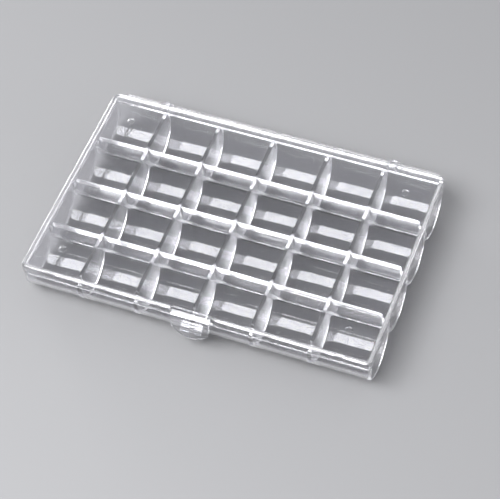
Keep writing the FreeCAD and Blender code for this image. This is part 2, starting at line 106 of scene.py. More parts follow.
PITCH_X = CELL_LENGTH + DIVIDER
PITCH_Y = CELL_WIDTH + DIVIDER
CELL_CENTRES_X = (np.arange(COLUMNS) - (COLUMNS - 1) / 2) * PITCH_X
TROUGH_CENTRES_Y = (np.arange(ROWS) - (ROWS - 1) / 2) * PITCH_Y
ROW_CENTRES_Y = (TROUGH_CENTRES_Y[1:] + TROUGH_CENTRES_Y[:-1]) / 2
INNER_HALF_X = (COLUMNS * PITCH_X - DIVIDER) / 2
INNER_HALF_Y = (ROWS * PITCH_Y - DIVIDER) / 2
TRAY_HALF_X = INNER_HALF_X + WALL
TRAY_HALF_Y = INNER_HALF_Y + WALL
TROUGH_RADIUS = CELL_WIDTH / 2
SHELL_RADIUS = TROUGH_RADIUS + WALL
AXIS_Z = SHELL_RADIUS - STANDING_FLAT
WALL_TOP = AXIS_Z + WALL_RISE
print("tray", round(2 * TRAY_HALF_X, 2), "by", round(2 * TRAY_HALF_Y, 2), "mm, walls", WALL_TOP, "mm high")

# %% Sizes of the lid
SEAT_GAP = 0.1
SKIRT_HEIGHT = 5.4
SKIRT = 1.9
LID_PLATE = 1.3
LID_OVERHANG = 0.4
LID_CORNER_RADIUS = 3.0
LID_EDGE_RADIUS = 1.0
TAB_REACH = 3.3

LID_HALF_X = TRAY_HALF_X + LID_OVERHANG
LID_HALF_Y = TRAY_HALF_Y + LID_OVERHANG
CORNER_CENTRE_X = LID_HALF_X - LID_CORNER_RADIUS
CORNER_CENTRE_Y = LID_HALF_Y - LID_CORNER_RADIUS
SKIRT_BOTTOM = WALL_TOP + SEAT_GAP
LID_TOP = SKIRT_BOTTOM + SKIRT_HEIGHT
LID_UNDERSIDE = LID_TOP - LID_PLATE
DIVIDER_TOP = LID_UNDERSIDE - DIVIDER_HEADROOM

MILLIMETRE = 0.001
lid_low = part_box("lid")[0]
TRAY_MIDDLE_Y = lid_low.y / MILLIMETRE + TAB_REACH + LID_HALF_Y
print("lid", round(2 * LID_HALF_X, 2), "by", round(2 * LID_HALF_Y, 2), "mm, top at", round(LID_TOP, 2), "mm")

# %% [markdown]
# ## Helpers for closed surfaces
#
# A moulding with no undercut is the space between two sheets of points that share one grid, the upper side
# and the lower side. Closing it takes the quads of the upper sheet, the same quads of the lower sheet
# turned over, and a wall of quads along every border of the grid. An upright face is two grid lines a
# ten-thousandth of a millimetre apart. This keeps the mesh even and watertight, which a lump of joined
# boxes would not be, and clear plastic needs that: a ray of light has to know when it enters the plastic
# and when it leaves.

# %% Helpers: closed meshes from grids
FACE_GAP = 1e-4
MERGE_DISTANCE = 5 * FACE_GAP * MILLIMETRE


def new_piece(name, points, faces):
    """A mesh object from points in millimetres about the tray's middle, with doubled points merged."""
    placed = (np.asarray(points) + (0, TRAY_MIDDLE_Y, 0)) * MILLIMETRE
    mesh = bpy.data.meshes.new(name)
    mesh.from_pydata(placed, [], faces)
    work = bmesh.new()
    work.from_mesh(mesh)
    bmesh.ops.remove_doubles(work, verts=work.verts, dist=MERGE_DISTANCE)
    bmesh.ops.dissolve_degenerate(work, edges=work.edges, dist=FACE_GAP * MILLIMETRE)
    work.to_mesh(mesh)
    work.free()
    piece = bpy.data.objects.new(name, mesh)
    bpy.context.scene.collection.objects.link(piece)
    return piece


def closed_shell(name, upper, lower, keep=None):
    """Closes the space between two grids of points, over the grid's quads that are kept.

    The grids run along +X first. Every grid edge with a kept quad on one side only gets a wall from lower
    to upper.
    """
    rows, columns = upper.shape[:2]
    top = np.arange(rows * columns).reshape(rows, columns)
    low = top + rows * columns
    if keep is None:
        keep = np.ones((rows - 1, columns - 1), bool)
    quads = np.stack([top[:-1, :-1], top[1:, :-1], top[1:, 1:], top[:-1, 1:]], axis=-1)[keep]
    under = quads[:, ::-1] + rows * columns
    padded = np.pad(keep, 1)
    change_y = padded[1:-1, 1:].astype(int) - padded[1:-1, :-1]
    change_x = padded[1:, 1:-1].astype(int) - padded[:-1, 1:-1]
    along_x = np.stack([low[:-1], low[1:], top[1:], top[:-1]], axis=-1)
    along_y = np.stack([low[:, 1:], low[:, :-1], top[:, :-1], top[:, 1:]], axis=-1)
    walls_x = [along_x[change_y > 0], along_x[change_y < 0][:, ::-1]]
    walls_y = [along_y[change_x > 0], along_y[change_x < 0][:, ::-1]]
    faces = np.concatenate([quads, under] + walls_x + walls_y)
    points = np.concatenate([upper.reshape(-1, 3), lower.reshape(-1, 3)])
    return new_piece(name, points, faces.tolist())


# %% Helpers: distances and rounded edges
NOT_ZERO = 1e-9
GRID_DIGITS = 6


def both_sides(values):
    """The values and their mirror image."""
    return np.concatenate([-np.asarray(values), np.asarray(values)])


def from_nearest(values, centres):
    """The distance of each value from the nearest of the centres, negative below it."""
    index = np.abs(values[:, None] - centres[None, :]).argmin(axis=1)
    return values - centres[index]


def round_drop(distance, radius):
    """How far a rounded edge has dropped at a distance in from it: its radius less its circle's height."""
    inside = np.clip(radius - distance, 0, radius)
    return radius - np.sqrt(radius**2 - inside**2)


def round_lines(radius, steps):
    """Distances in from an edge that divide its quarter circle evenly."""
    return radius * (1 - np.cos(np.linspace(0, np.pi / 2, steps + 1)))


def round_corners(across_x, across_y):
    """Turns the square rings about each corner's centre into round ones of the same size, in plan."""
    out_x = np.abs(across_x) - CORNER_CENTRE_X
    out_y = np.abs(across_y) - CORNER_CENTRE_Y
    corner = (out_x > 0) & (out_y > 0)
    shrink = np.where(corner, np.maximum(out_x, out_y) / np.maximum(np.hypot(out_x, out_y), NOT_ZERO), 1.0)
    new_x = np.where(corner, np.sign(across_x) * (CORNER_CENTRE_X + out_x * shrink), across_x)
    new_y = np.where(corner, np.sign(across_y) * (CORNER_CENTRE_Y + out_y * shrink), across_y)
    return new_x, new_y


print("edge of 1 mm, halfway in, has dropped", round(float(round_drop(np.array(0.5), 1.0)), 3), "mm")

# %% [markdown]
# ## Tray
#
# The tray's upper side is a height worked out at every point of a grid. Across the box it follows the
# troughs: a half circle that runs into the flank of a row divider. The flank is a power of the distance
# from the divider's middle, so the divider is flat on top, round at its shoulders and hardly wider at its
# foot, as a steel mould makes it. Along the box a switch lifts the height from the trough to the top of a
# column divider, with a fillet at the foot and a rounded edge at the top. The lower side is a row of larger
# half circles, cut flat where the box stands. One formula gives all twenty-four cells alike, as one mould
# does.

# %% Tray: grid lines
TOP_EDGE = 0.15
FOOT_FILLET = 0.7
RIM_EDGE = 0.3
END_EDGE = 0.8
ROW_HALF = 1.07
ROW_DEPTH = DIVIDER_TOP - AXIS_Z
ROW_POWER = 4.5
FLANK_DROP = 10.0
FLANK_STEPS = 12
FLANK_CROWDING = 3
ARC_STEPS = 32
EDGE_STEPS = 4
END_STEPS = 5
RIM_STEPS = 3
CORNER_LINES = 8
SHELL_TURN = 0.42
SHELL_LINES = 8
CELL_SHARES = np.array([-0.5, 0.0, 0.5])


def tray_grid_lines():
    """Lines along X and Y, close together where the surface turns, and in pairs at upright faces."""
    foot = -round_lines(FOOT_FILLET, EDGE_STEPS)
    top = FACE_GAP + round_lines(TOP_EDGE, EDGE_STEPS)
    steps = both_sides(CELL_LENGTH / 2 + np.concatenate([foot, top]))
    middle = CELL_SHARES * CELL_LENGTH / 2
    wall = np.linspace(0, TRAY_HALF_X - CORNER_CENTRE_X, CORNER_LINES)
    end = round_lines(END_EDGE, END_STEPS)
    rim = round_lines(RIM_EDGE, RIM_STEPS)
    block_end = DIVIDER_SETBACK + np.append(round_lines(DIVIDER_END_RADIUS, END_STEPS), -FACE_GAP)
    edge_x = [CORNER_CENTRE_X + wall, TRAY_HALF_X - end, TRAY_HALF_X - rim, INNER_HALF_X - block_end]
    inner_y = [INNER_HALF_Y - block_end, INNER_HALF_Y + top, [INNER_HALF_Y]]
    edge_y = [CORNER_CENTRE_Y + wall, TRAY_HALF_Y - rim, *inner_y]
    arc = TROUGH_RADIUS * np.cos(np.linspace(0, np.pi, ARC_STEPS + 1))
    drops = FLANK_DROP * np.linspace(0, 1, FLANK_STEPS + 1) ** FLANK_CROWDING
    flank = both_sides(ROW_HALF * (drops / ROW_DEPTH) ** (1 / ROW_POWER))
    shell_turns = np.linspace(0, SHELL_TURN, SHELL_LINES)
    shell = TRAY_HALF_Y - SHELL_RADIUS + SHELL_RADIUS * np.cos(shell_turns)
    cells = (CELL_CENTRES_X[:, None] + np.concatenate([steps, middle])).ravel()
    troughs = (TROUGH_CENTRES_Y[:, None] + arc).ravel()
    dividers = (ROW_CENTRES_Y[:, None] + flank).ravel()
    along = np.concatenate([cells, both_sides(np.concatenate(edge_x))])
    across = np.concatenate([troughs, dividers, both_sides(np.concatenate(edge_y)), both_sides(shell)])
    return np.unique(np.round(along, GRID_DIGITS)), np.unique(np.round(across, GRID_DIGITS))


grid_x, grid_y = tray_grid_lines()
print("tray grid", len(grid_x), "by", len(grid_y))

# %% [markdown]
# A moulding leaves its mould only if the upright faces lean a little, which mould makers call draft. On a
# clear divider that lean decides the look. Light that comes in through one side meets the other side at
# just under the angle at which it would be thrown back. Two thirds of a degree push it over, so the light
# stays in the divider, runs up and down between its faces, and the divider glows white. With upright faces
# it would be seen through. So the lean is in the mesh, although it moves the faces by a quarter of a
# millimetre at most.

# %% Tray: heights and draft
DRAFT = math.tan(math.radians(0.65))


def raised_height(inside):
    """Height of the divider block above the wall, by the distance inside its edge: upright, then round."""
    return np.where(inside < 0, 0.0, DIVIDER_TOP - WALL_TOP - round_drop(inside, DIVIDER_END_RADIUS))


def draft_lean(x, depth):
    """How far a divider's sides stand out from it: the depth below its top times the draft.

    The share falls evenly from one at the divider's foot to none in the middle of the cell. The end walls
    of the box are upright, so a cell at the end leans on one side only.
    """
    from_middle = from_nearest(x, CELL_CENTRES_X)
    share = np.abs(from_middle) / (CELL_LENGTH / 2)
    upright = (share > 1 + FACE_GAP / CELL_LENGTH) | (np.abs(x) > CELL_CENTRES_X[-1])
    share = np.where(upright, 0.0, np.sign(from_middle) * share)
    return DRAFT * np.multiply.outer(share, depth)


def tray_shell(x, y):
    """The higher of trough and flank, lifted to the divider tops along the box, over rounded shells."""
    into_divider = np.abs(from_nearest(x, CELL_CENTRES_X)) - CELL_LENGTH / 2
    from_trough = np.abs(from_nearest(y, TROUGH_CENTRES_Y))
    outer = np.minimum.outer(TRAY_HALF_X - np.abs(x), TRAY_HALF_Y - np.abs(y))
    block_x = raised_height(INNER_HALF_X - DIVIDER_SETBACK - np.abs(x))
    block_y = raised_height(INNER_HALF_Y - DIVIDER_SETBACK - np.abs(y))
    tops = WALL_TOP + np.minimum.outer(block_x, block_y) - round_drop(outer, RIM_EDGE)

    floor = AXIS_Z - np.sqrt(np.clip(TROUGH_RADIUS**2 - from_trough**2, 0, None))
    flank = ROW_DEPTH * (np.abs(from_nearest(y, ROW_CENTRES_Y)) / ROW_HALF) ** ROW_POWER
    outer_wall = np.abs(y) > INNER_HALF_Y + FACE_GAP / 2
    wall_edge = round_drop(from_trough - TROUGH_RADIUS, TOP_EDGE)
    trough = np.where(outer_wall, tops - wall_edge, np.maximum(floor, tops - flank))
    divider = into_divider > FACE_GAP / 2
    lift = np.where(divider, -round_drop(into_divider, TOP_EDGE), round_drop(-into_divider, FOOT_FILLET))
    ease = np.clip((tops - trough) / (TOP_EDGE + FOOT_FILLET), 0, 1) ** 2
    high = np.where(divider[:, None], tops, trough) + lift[:, None] * ease

    end_radius = SHELL_RADIUS - round_drop(TRAY_HALF_X - np.abs(x), END_EDGE)
    low = AXIS_Z - np.sqrt(np.clip(end_radius[:, None] ** 2 - from_trough[None, :] ** 2, 0, None))
    depth = np.where(outer_wall, 0.0, np.minimum(DIVIDER_TOP - floor, flank))
    plan_x, plan_y = round_corners(*np.meshgrid(x, y, indexing="ij"))
    upper = np.stack([plan_x - draft_lean(x, depth), plan_y, high], axis=-1)
    lower = np.stack([plan_x, plan_y, np.maximum(low, 0.0)], axis=-1)
    return closed_shell("tray_shell", upper, lower)


troughs_and_dividers = tray_shell(grid_x, grid_y)
print("troughs and dividers", len(troughs_and_dividers.data.vertices), "points")

# %% [markdown]
# The ledge, the hinge hooks and the catch lip are outlines carried along the box. Each hook is a C that is
# open to the back, so that the lid's bar can snap in. The lip is a rounded bead, so that the tab's rib
# rides over it. They are fused with the troughs by a Boolean, because they come out of the same mould and
# no seam shows.

# %% Helpers: outlines carried along X, and fusing
def prism(name, outline, x_low, x_high):
    """An outline in Y and Z, anticlockwise as seen from +X, carried straight along X between two ends."""
    outline = np.asarray(outline, float)
    count = len(outline)
    first = np.column_stack([np.full(count, x_low), outline])
    last = np.column_stack([np.full(count, x_high), outline])
    index = np.arange(count)
    following = np.roll(index, -1)
    sides = np.stack([index, following, following + count, index + count], axis=-1).tolist()
    caps = [(index[::-1]).tolist(), (index + count).tolist()]
    return new_piece(name, np.concatenate([first, last]), sides + caps)


def fused(name, pieces):
    """One watertight mesh out of several that overlap, and the pieces that went into it are removed."""
    target = pieces[0]
    for other in pieces[1:]:
        modifier = target.modifiers.new("fuse", "BOOLEAN")
        modifier.operation = "UNION"
        modifier.solver = "MANIFOLD"
        modifier.object = other
    graph = bpy.context.evaluated_depsgraph_get()
    mesh = bpy.data.meshes.new_from_object(target.evaluated_get(graph))
    mesh.name = name
    result = bpy.data.objects.new(name, mesh)
    bpy.context.scene.collection.objects.link(result)
    for piece in pieces:
        bpy.data.objects.remove(piece)
    return result


SHARP_ANGLE = math.radians(38)
NORMAL_WEIGHT = 100


def smooth(piece):
    """Smooth shading that stops at sharp edges, with normals led by larger faces, so that flats look flat."""
    piece.data.shade_smooth()
    piece.data.set_sharp_from_angle(angle=SHARP_ANGLE)
    weighted = piece.modifiers.new("flat_normals", "WEIGHTED_NORMAL")
    weighted.keep_sharp = True
    weighted.weight = NORMAL_WEIGHT


# %% Tray: ledge and hinge hooks
HINGE_SPREAD = 125.0
HINGE_MIDDLES_X = (-HINGE_SPREAD / 2, HINGE_SPREAD / 2)
HINGE_OFFSET = 4.35
BAR_RADIUS = 0.9
ARM_CLEARANCE = 0.3
HOOK_CLEARANCE = 0.08
HOOK_WIDTH = 2.6
HOOK_WEB = 1.1
HOOK_ROOF = 0.8
HOOK_WRAP = 0.3
LEDGE = 1.4
LEDGE_MARGIN = 0.1
LEDGE_SETBACK = 4.0
HINGE_Y = LID_HALF_Y + HINGE_OFFSET
HINGE_Z = WALL_TOP + ARM_CLEARANCE + BAR_RADIUS
SOCKET_RADIUS = BAR_RADIUS + HOOK_CLEARANCE
SOCKET_POINTS = 25


def box_outline(y_low, y_high, z_low, z_high):
    """The four corners of a rectangle, anticlockwise."""
    return [(y_low, z_low), (y_high, z_low), (y_high, z_high), (y_low, z_high)]


def hook_outline():
    """A rectangle with a round socket that is open at the back: the arc runs round the front of the bar."""
    front = HINGE_Y - SOCKET_RADIUS - HOOK_WEB
    back = HINGE_Y + HOOK_WRAP
    top = HINGE_Z + SOCKET_RADIUS + HOOK_ROOF
    mouth = math.acos(HOOK_WRAP / SOCKET_RADIUS)
    angle = np.linspace(-mouth, mouth - 2 * math.pi, SOCKET_POINTS)
    socket_y = HINGE_Y + SOCKET_RADIUS * np.cos(angle)
    socket_z = HINGE_Z + SOCKET_RADIUS * np.sin(angle)
    socket = np.column_stack([socket_y, socket_z])
    corners = box_outline(front, back, WALL_TOP - LEDGE / 2, top)
    return corners[:2] + socket.tolist() + corners[2:]


LEDGE_STEP = 0.02
ledge_back = HINGE_Y + BAR_RADIUS + LEDGE_MARGIN
ledge_half = TRAY_HALF_X - LEDGE_SETBACK
ledge_outline = box_outline(TRAY_HALF_Y - WALL / 2, ledge_back, WALL_TOP - LEDGE, WALL_TOP - LEDGE_STEP)
ledge = prism("ledge", ledge_outline, -ledge_half, ledge_half)
hooks = []
for middle in HINGE_MIDDLES_X:
    hooks.append(prism("hook", hook_outline(), middle - HOOK_WIDTH / 2, middle + HOOK_WIDTH / 2))
print("ledge", round(2 * ledge_half, 2), "mm long,", len(hooks), "hooks")

# %% Tray: catch lip, and the whole moulding
CATCH_WIDTH = 11.0
CATCH_DROP = 9.2
CATCH_HEIGHT = 1.6
CATCH_LIP = 1.25
CATCH_GAP = 0.2
CATCH_TOP_Z = LID_TOP - CATCH_DROP
CATCH_LIP_Y = -TRAY_HALF_Y - CATCH_LIP
BEAD_POINTS = 17


def lip_outline():
    """A half ellipse out of the front wall, from its top round to its bottom, and a root inside the wall."""
    angle = np.linspace(np.pi / 2, 3 * np.pi / 2, BEAD_POINTS)
    bead_y = -TRAY_HALF_Y + CATCH_LIP * np.cos(angle)
    bead_z = CATCH_TOP_Z - CATCH_HEIGHT / 2 * (1 - np.sin(angle))
    root = -TRAY_HALF_Y + WALL / 2
    return np.column_stack([bead_y, bead_z]).tolist() + [(root, bead_z[-1]), (root, bead_z[0])]


lip = prism("catch_lip", lip_outline(), -CATCH_WIDTH / 2, CATCH_WIDTH / 2)
tray = fused("tray_moulding", [troughs_and_dividers, ledge, *hooks, lip])
smooth(tray)
print("tray moulding", len(tray.data.vertices), "points")

# %% [markdown]
# ## Lid
#
# The lid is a plate with a skirt. Its upper side is flat with a rounded border and four shallow gate
# dimples, where the plastic came into the mould. Its lower side steps down from the plate to the skirt,
# which ends in a small slope on its inner edge that guides it onto the tray and lights up as a white line.
# At the latch the skirt is left out over a few grid quads, which is how a notch is cut in this way of
# building.

# %% Lid: plate and skirt
TAB_WIDTH = 20.4
TAB_SLIT = 1.0
NOTCH_HALF_X = TAB_WIDTH / 2 + TAB_SLIT
NOTCH_BACK_Y = -LID_HALF_Y + SKIRT
GATE_RADIUS = 1.7
GATE_DEPTH = 0.6
GATE_INSET = 15.9
GATE_SIDE = 0.45
GATE_SPAN = 1.4
GATE_LINES = 29
SKIRT_EDGE = 0.3
SKIRT_SLOPE = 0.9
UNDER_FILLET = 0.6
LID_EDGE_STEPS = 6
LID_CORNER_LINES = 9
MIDDLE_SPAN = 0.6
MIDDLE_LINES = 9


def lid_grid_lines(half, corner_centre, extra):
    """Lines across the lid, close together at its border, its skirt and its gate dimples."""
    edge = np.concatenate([
        round_lines(LID_EDGE_RADIUS, LID_EDGE_STEPS),
        round_lines(SKIRT_EDGE, RIM_STEPS),
        SKIRT - FACE_GAP - np.array([0.0, SKIRT_SLOPE]),
        SKIRT + round_lines(UNDER_FILLET, EDGE_STEPS),
        half - corner_centre - np.linspace(0, half - corner_centre, LID_CORNER_LINES),
    ])
    gate = half - GATE_INSET + np.linspace(-GATE_SPAN, GATE_SPAN, GATE_LINES) * GATE_RADIUS
    middle = np.linspace(-MIDDLE_SPAN, MIDDLE_SPAN, MIDDLE_LINES) * half
    lines = np.concatenate([both_sides(half - edge), both_sides(gate), middle, extra])
    return np.unique(np.round(lines, GRID_DIGITS))


def gate_dimples(x, y):
    """A round dimple at each of four places, half as deep at its radius, with an S-shaped side."""
    from_gate_x = np.abs(np.abs(x) - (LID_HALF_X - GATE_INSET))
    from_gate_y = np.abs(np.abs(y) - (LID_HALF_Y - GATE_INSET))
    from_gate = np.hypot.outer(from_gate_x, from_gate_y)
    share = np.clip(0.5 + (1 - from_gate / GATE_RADIUS) / GATE_SIDE, 0, 1)
    return GATE_DEPTH * share * share * (3 - 2 * share)


def lid_shell():
    """Plate less its rounded border and dimples above, skirt or plate below, drawn in by draft at the top."""
    x = lid_grid_lines(LID_HALF_X, CORNER_CENTRE_X, [-NOTCH_HALF_X, NOTCH_HALF_X])
    y = lid_grid_lines(LID_HALF_Y, CORNER_CENTRE_Y, [])
    edge = np.minimum.outer(LID_HALF_X - np.abs(x), LID_HALF_Y - np.abs(y))
    high = LID_TOP - round_drop(edge, LID_EDGE_RADIUS) - gate_dimples(x, y)
    skirt = SKIRT_BOTTOM + round_drop(edge, SKIRT_EDGE) + np.clip(edge - SKIRT + SKIRT_SLOPE, 0, None)
    plate = LID_UNDERSIDE - round_drop(edge - SKIRT, UNDER_FILLET)
    low = np.where(edge < SKIRT - FACE_GAP / 2, skirt, plate)
    plan_x, plan_y = round_corners(*np.meshgrid(x, y, indexing="ij"))
    middle_x = (x[1:] + x[:-1]) / 2
    middle_y = (y[1:] + y[:-1]) / 2
    keep = ~np.logical_and.outer(np.abs(middle_x) < NOTCH_HALF_X, middle_y < NOTCH_BACK_Y)
    drawn_in = DRAFT * SKIRT_HEIGHT
    top_x = plan_x * (1 - drawn_in / LID_HALF_X)
    top_y = plan_y * (1 - drawn_in / LID_HALF_Y)
    print("lid grid", len(x), "by", len(y))
    upper = np.stack([top_x, top_y, high], axis=-1)
    lower = np.stack([plan_x, plan_y, low], axis=-1)
    return closed_shell("lid_shell", upper, lower, keep)


plate_and_skirt = lid_shell()

# %% [markdown]
# The latch tab is a strip of the same plate that bends down through the notch and ends in a half round. Its
# path is carried from the tip up the face and round the bend, its width follows the half round, and both
# faces draw in at the rim so that the edge is rounded and shines.

# %% Lid: latch tab
TAB = 1.4
TAB_DROP = 6.1
TAB_EDGE = 0.45
TAB_ROOT = 1.0
TAB_BEND = TAB_REACH + SKIRT
TAB_INNER_BEND = TAB_BEND - TAB
TAB_END_RADIUS = TAB_WIDTH / 2
TAB_CENTRE_Z = LID_TOP - TAB_DROP
BEND_Z = LID_TOP - TAB_BEND
TAB_END_POINTS = 21
TAB_BEND_POINTS = 13
TAB_WIDTH_POINTS = 33


def tab_shell():
    """Path from the tip: half round, straight face, quarter bend, root. Width times -1 to 1 gives X."""
    fall = np.linspace(np.pi / 2, 0, TAB_END_POINTS)
    bend = np.linspace(0, np.pi / 2, TAB_BEND_POINTS)[1:]
    face_z = np.append(TAB_CENTRE_Z - TAB_END_RADIUS * np.sin(fall), BEND_Z)
    rest = len(bend) + 1
    width = np.concatenate([TAB_END_RADIUS * np.cos(fall), np.full(rest + 1, TAB_END_RADIUS)])
    share = np.sin(np.linspace(-np.pi / 2, np.pi / 2, TAB_WIDTH_POINTS))
    x = np.multiply.outer(share, width)
    below = np.minimum(np.append(face_z, np.full(rest, LID_TOP)) - TAB_CENTRE_Z, 0)[None, :]
    from_edge = np.where(below < 0, TAB_END_RADIUS - np.hypot(x, below), width - np.abs(x))
    drop = round_drop(np.clip(from_edge, 0, None), TAB_EDGE)
    turned = np.concatenate([np.zeros(len(face_z)), bend, [np.pi / 2]])
    straight_z = np.append(face_z - BEND_Z, np.zeros(rest))
    root_y = np.append(np.zeros(len(turned) - 1), TAB_ROOT)

    def side(reach):
        """One face of the tab, at its distance from the axis of the bend."""
        y = NOTCH_BACK_Y - reach * np.cos(turned) + root_y
        z = BEND_Z + reach * np.sin(turned) + straight_z
        return np.stack([x, y, z], axis=-1)

    return closed_shell("tab", side(TAB_BEND - drop), side(TAB_INNER_BEND + drop))


tab = tab_shell()
print("tab", len(tab.data.vertices), "points")

# %% [markdown]
# Each hinge loop is two arms and a round bar. The bar turns in the tray's hook, so it keeps its true
# radius. Behind the tab a rib runs under the tray's lip and holds the lid shut.

# %% Lid: catch rib, hinge loops and the whole moulding
ARM = 1.2
HOOK_SIDE_GAP = 0.3
TAB_FACE_Y = -LID_HALF_Y - TAB_REACH
ARM_POINTS = 17
BAR_POINTS = 33


def circle(start, stop, steps):
    """Points on the hinge bar's circle, from one angle to another."""
    angle = np.linspace(start, stop, steps)
    return np.column_stack([HINGE_Y + BAR_RADIUS * np.cos(angle), HINGE_Z + BAR_RADIUS * np.sin(angle)])


def arm_outline():
    """A strip from inside the skirt to the hinge axis, with a half round end about the axis."""
    root = LID_HALF_Y - SKIRT / 2
    end = circle(-np.pi / 2, np.pi / 2, ARM_POINTS).tolist()
    return [(root, HINGE_Z - BAR_RADIUS)] + end + [(root, HINGE_Z + BAR_RADIUS)]


rib_top = CATCH_TOP_Z - CATCH_HEIGHT - CATCH_GAP
rib_root = TAB_FACE_Y + TAB / 2
rib_tip = CATCH_LIP_Y - CATCH_GAP
rib_outline = box_outline(rib_root, rib_tip, rib_top - CATCH_HEIGHT, rib_top)
rib_outline[1] = (rib_tip, rib_top - CATCH_HEIGHT / 2)
rib = prism("catch_rib", rib_outline, -CATCH_WIDTH / 2, CATCH_WIDTH / 2)
loops = []
inner = HOOK_WIDTH / 2 + HOOK_SIDE_GAP
bar_outline = circle(0, 2 * np.pi, BAR_POINTS)[:-1]
for middle in HINGE_MIDDLES_X:
    loops.append(prism("arm", arm_outline(), middle - inner - ARM, middle - inner))
    loops.append(prism("arm", arm_outline(), middle + inner, middle + inner + ARM))
    loops.append(prism("bar", bar_outline, middle - inner - ARM / 2, middle + inner + ARM / 2))
lid = fused("lid_moulding", [plate_and_skirt, tab, rib, *loops])
smooth(lid)
print("lid moulding", len(lid.data.vertices), "points")

# %% [markdown]
# ## Clear polystyrene
#
# Crystal polystyrene bends light more than window glass does (an index of 1.59), is almost colourless with
# a faint grey violet cast, and takes a mirror polish from the mould. What gives it away is the surface: a
# slight flow in the flats, hair scratches from use and a little haze. Those three are one node group, used
# by every finish here with its own values, and they only steer roughness, colour and bump. The refraction
# stays in the material's own shader.

# %% Node group: moulded surface
PALE_TINT = (0.97, 0.97, 0.985, 1.0)
DEEP_TINT = (0.93, 0.93, 0.955, 1.0)
SCRATCH_STRETCH = (18.0, 1400.0, 400.0)
SCRATCH_TURN = 0.6
SCRATCH_ROUGHNESS = 0.12
SCRATCH_DEPTH = 0.05
SCRATCH_STARTS = 0.72
SCRATCH_FULL = 0.78
SCRATCH_DETAIL = 1.0
FLOW_DETAIL = 2.0
HAZE_DETAIL = 6.0
HAZE_PER_METRE = 90.0


def noise(nodes, detail, scale=1.0):
    """A noise texture of a given detail and scale."""
    node = nodes.new("ShaderNodeTexNoise")
    node.inputs["Scale"].default_value = scale
    node.inputs["Detail"].default_value = detail
    return node


def multiply_add(nodes, factor):
    """The first input times a factor, plus the third input."""
    node = nodes.new("ShaderNodeMath")
    node.operation = "MULTIPLY_ADD"
    node.inputs[1].default_value = factor
    return node


def moulded_surface_group():
    """Flow noise gives tint and height, hazy noise times Haze plus scratches gives roughness."""
    group = bpy.data.node_groups.new("moulded_surface", "ShaderNodeTree")
    group.interface.new_socket("Vector", in_out="INPUT", socket_type="NodeSocketVector")
    group.interface.new_socket("Flow Size", in_out="INPUT", socket_type="NodeSocketFloat")
    group.interface.new_socket("Haze", in_out="INPUT", socket_type="NodeSocketFloat")
    group.interface.new_socket("Tint", in_out="OUTPUT", socket_type="NodeSocketColor")
    group.interface.new_socket("Roughness", in_out="OUTPUT", socket_type="NodeSocketFloat")
    group.interface.new_socket("Height", in_out="OUTPUT", socket_type="NodeSocketFloat")
    nodes = group.nodes
    links = group.links
    entry = nodes.new("NodeGroupInput")
    leave = nodes.new("NodeGroupOutput")

    flow = noise(nodes, FLOW_DETAIL)
    links.new(entry.outputs["Vector"], flow.inputs["Vector"])
    links.new(entry.outputs["Flow Size"], flow.inputs["Scale"])
    tint = nodes.new("ShaderNodeMix")
    tint.data_type = "RGBA"
    tint.inputs["A"].default_value = DEEP_TINT
    tint.inputs["B"].default_value = PALE_TINT
    links.new(flow.outputs["Fac"], tint.inputs["Factor"])
    links.new(tint.outputs["Result"], leave.inputs["Tint"])

    stretch = nodes.new("ShaderNodeMapping")
    stretch.inputs["Rotation"].default_value = (0.0, 0.0, SCRATCH_TURN)
    stretch.inputs["Scale"].default_value = SCRATCH_STRETCH
    hair = noise(nodes, SCRATCH_DETAIL)
    scratches = nodes.new("ShaderNodeMapRange")
    scratches.inputs["From Min"].default_value = SCRATCH_STARTS
    scratches.inputs["From Max"].default_value = SCRATCH_FULL
    links.new(entry.outputs["Vector"], stretch.inputs["Vector"])
    links.new(stretch.outputs["Vector"], hair.inputs["Vector"])
    links.new(hair.outputs["Fac"], scratches.inputs["Value"])

    haze = noise(nodes, HAZE_DETAIL, HAZE_PER_METRE)
    dull = nodes.new("ShaderNodeMath")
    dull.operation = "MULTIPLY"
    rough = multiply_add(nodes, SCRATCH_ROUGHNESS)
    height = multiply_add(nodes, -SCRATCH_DEPTH)
    links.new(entry.outputs["Vector"], haze.inputs["Vector"])
    links.new(haze.outputs["Fac"], dull.inputs[0])
    links.new(entry.outputs["Haze"], dull.inputs[1])
    links.new(scratches.outputs["Result"], rough.inputs[0])
    links.new(dull.outputs["Value"], rough.inputs[2])
    links.new(scratches.outputs["Result"], height.inputs[0])
    links.new(flow.outputs["Fac"], height.inputs[2])
    links.new(rough.outputs["Value"], leave.inputs["Roughness"])
    links.new(height.outputs["Value"], leave.inputs["Height"])
    return group


surface_group = moulded_surface_group()
print("moulded surface,", len(surface_group.nodes), "nodes")

# %% Materials: the tray's and the lid's plastic
PLASTIC_INDEX = 1.59
FLOW_STRENGTH = 0.02


def clear_plastic(name, flow_size, haze=0.0):
    """A clear shader with the moulded surface's tint, roughness and height."""
    material = bpy.data.materials.new(name)
    material.use_nodes = True
    nodes = material.node_tree.nodes
    links = material.node_tree.links
    shader = nodes["Principled BSDF"]
    shader.inputs["Transmission Weight"].default_value = 1.0
    shader.inputs["IOR"].default_value = PLASTIC_INDEX
    place = nodes.new("ShaderNodeTexCoord")
    surface = nodes.new("ShaderNodeGroup")
    surface.node_tree = surface_group
    surface.inputs["Flow Size"].default_value = flow_size
    surface.inputs["Haze"].default_value = haze
    bump = nodes.new("ShaderNodeBump")
    bump.inputs["Strength"].default_value = FLOW_STRENGTH
    bump.inputs["Distance"].default_value = MILLIMETRE
    links.new(place.outputs["Object"], surface.inputs["Vector"])
    links.new(surface.outputs["Tint"], shader.inputs["Base Color"])
    links.new(surface.outputs["Roughness"], shader.inputs["Roughness"])
    links.new(surface.outputs["Height"], bump.inputs["Height"])
    links.new(bump.outputs["Normal"], shader.inputs["Normal"])
    return material


